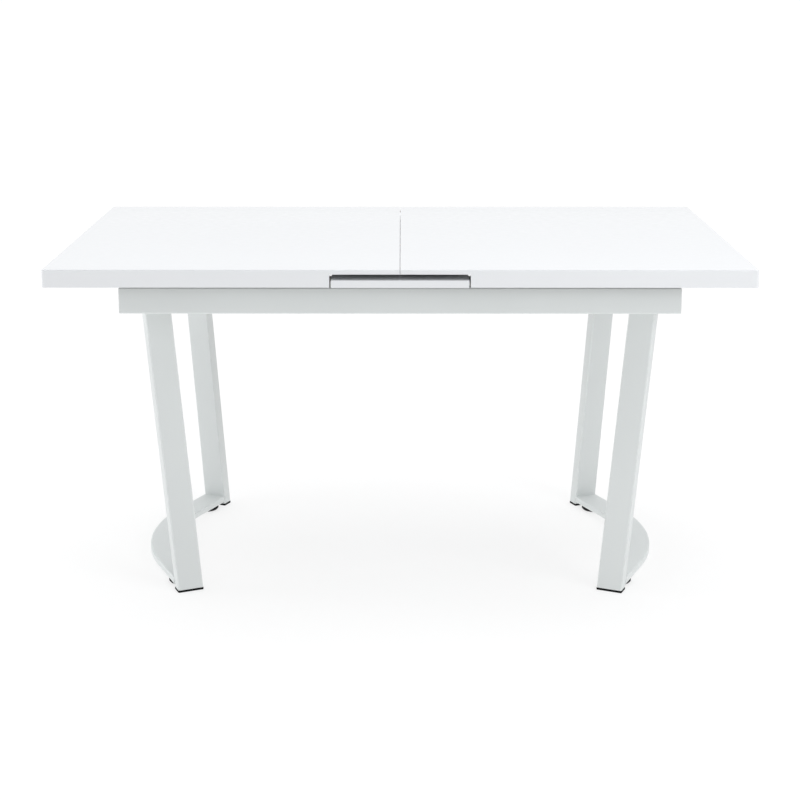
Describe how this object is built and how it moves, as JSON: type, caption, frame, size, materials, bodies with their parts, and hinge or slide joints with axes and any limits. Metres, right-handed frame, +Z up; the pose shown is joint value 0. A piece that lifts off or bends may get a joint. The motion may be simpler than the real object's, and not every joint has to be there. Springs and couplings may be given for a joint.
{
  "type": "extendable dining table",
  "caption": "Rectangular table with a split white top that slides apart on a grey steel frame, splayed flat tube legs, bowed base bars and a leaf stored under the top.",
  "frame": {"origin": "on the floor under the middle of the closed top", "axes": "+X along the table to the right half, +Y across the table to the rear, +Z up"},
  "size_m": [1.5, 0.9, 0.76],
  "materials": {
    "top_lacquer": "white gloss lacquer on fibreboard",
    "frame_powder_coat": "light grey satin powder coat",
    "zinc_plated_steel": "zinc plated",
    "slide_aluminium": "mill finish",
    "natural_nylon": "natural nylon",
    "black_plastic": "black",
    "felt": "grey felt",
    "beech": "planed beech",
    "bolt_steel": "bright fasteners"
  },
  "bodies": {
    "frame": {"front_rail": "frame_powder_coat", "rear_rail": "frame_powder_coat", "left_end_rail": "frame_powder_coat", "right_end_rail": "frame_powder_coat", "left_cross_tube": "frame_powder_coat", "right_cross_tube": "frame_powder_coat", "front_seat_angle": "frame_powder_coat", "rear_seat_angle": "frame_powder_coat", "corner_plate_front_left": "frame_powder_coat", "leg_front_left": "frame_powder_coat", "foot_front_left": "black_plastic", "slide_channel_front_left": "zinc_plated_steel", "corner_plate_front_right": "frame_powder_coat", "leg_front_right": "frame_powder_coat", "foot_front_right": "black_plastic", "slide_channel_front_right": "zinc_plated_steel", "corner_plate_rear_left": "frame_powder_coat", "leg_rear_left": "frame_powder_coat", "foot_rear_left": "black_plastic", "slide_channel_rear_left": "zinc_plated_steel", "corner_plate_rear_right": "frame_powder_coat", "leg_rear_right": "frame_powder_coat", "foot_rear_right": "black_plastic", "slide_channel_rear_right": "zinc_plated_steel", "left_base_bar": "frame_powder_coat", "right_base_bar": "frame_powder_coat", "base_glides": "black_plastic", "leg_bolts": "bolt_steel", "channel_rivets": "bolt_steel", "pinion_strip": "zinc_plated_steel", "pinion_pin": "bolt_steel", "leaf_pads": "felt", "leaf_guides": "natural_nylon"},
    "left_top": {"left_top_panel": "top_lacquer", "left_front_slide_rail": "slide_aluminium", "left_rear_slide_rail": "slide_aluminium", "left_slide_skates": "natural_nylon", "left_sync_rack": "natural_nylon", "left_rack_bracket": "zinc_plated_steel", "left_leaf_ledges": "zinc_plated_steel", "left_batten": "beech", "left_dowels": "beech", "left_screws": "bolt_steel"},
    "right_top": {"right_top_panel": "top_lacquer", "right_front_slide_rail": "slide_aluminium", "right_rear_slide_rail": "slide_aluminium", "right_slide_skates": "natural_nylon", "right_sync_rack": "natural_nylon", "right_rack_bracket": "zinc_plated_steel", "right_leaf_ledges": "zinc_plated_steel", "right_batten": "beech", "right_dowels": "beech", "right_screws": "bolt_steel"},
    "pinion": {"sync_pinion": "natural_nylon"},
    "leaf": {"leaf_panel": "top_lacquer"}
  },
  "joints": [
    {"name": "left_top_slide", "type": "slide", "parent": "frame", "child": "left_top", "axis": [-1, 0, 0], "range_m": [0, 0.15]},
    {"name": "right_top_slide", "type": "slide", "parent": "frame", "child": "right_top", "axis": [1, 0, 0], "range_m": [0, 0.15]},
    {"name": "pinion_spin", "type": "hinge", "parent": "frame", "child": "pinion", "pos_m": [0, 0, 0.7], "axis": [0, 0, -1], "range_deg": [-1, 574]},
    {"name": "leaf_draw", "type": "slide", "parent": "frame", "child": "leaf", "axis": [0, -1, 0], "range_m": [0, 0.93]}
  ],
  "couplings": [
    {"joint": "right_top_slide", "follows": "left_top_slide", "ratio": 1},
    {"joint": "pinion_spin", "follows": "left_top_slide", "rad_per_m": 66.667}
  ]
}
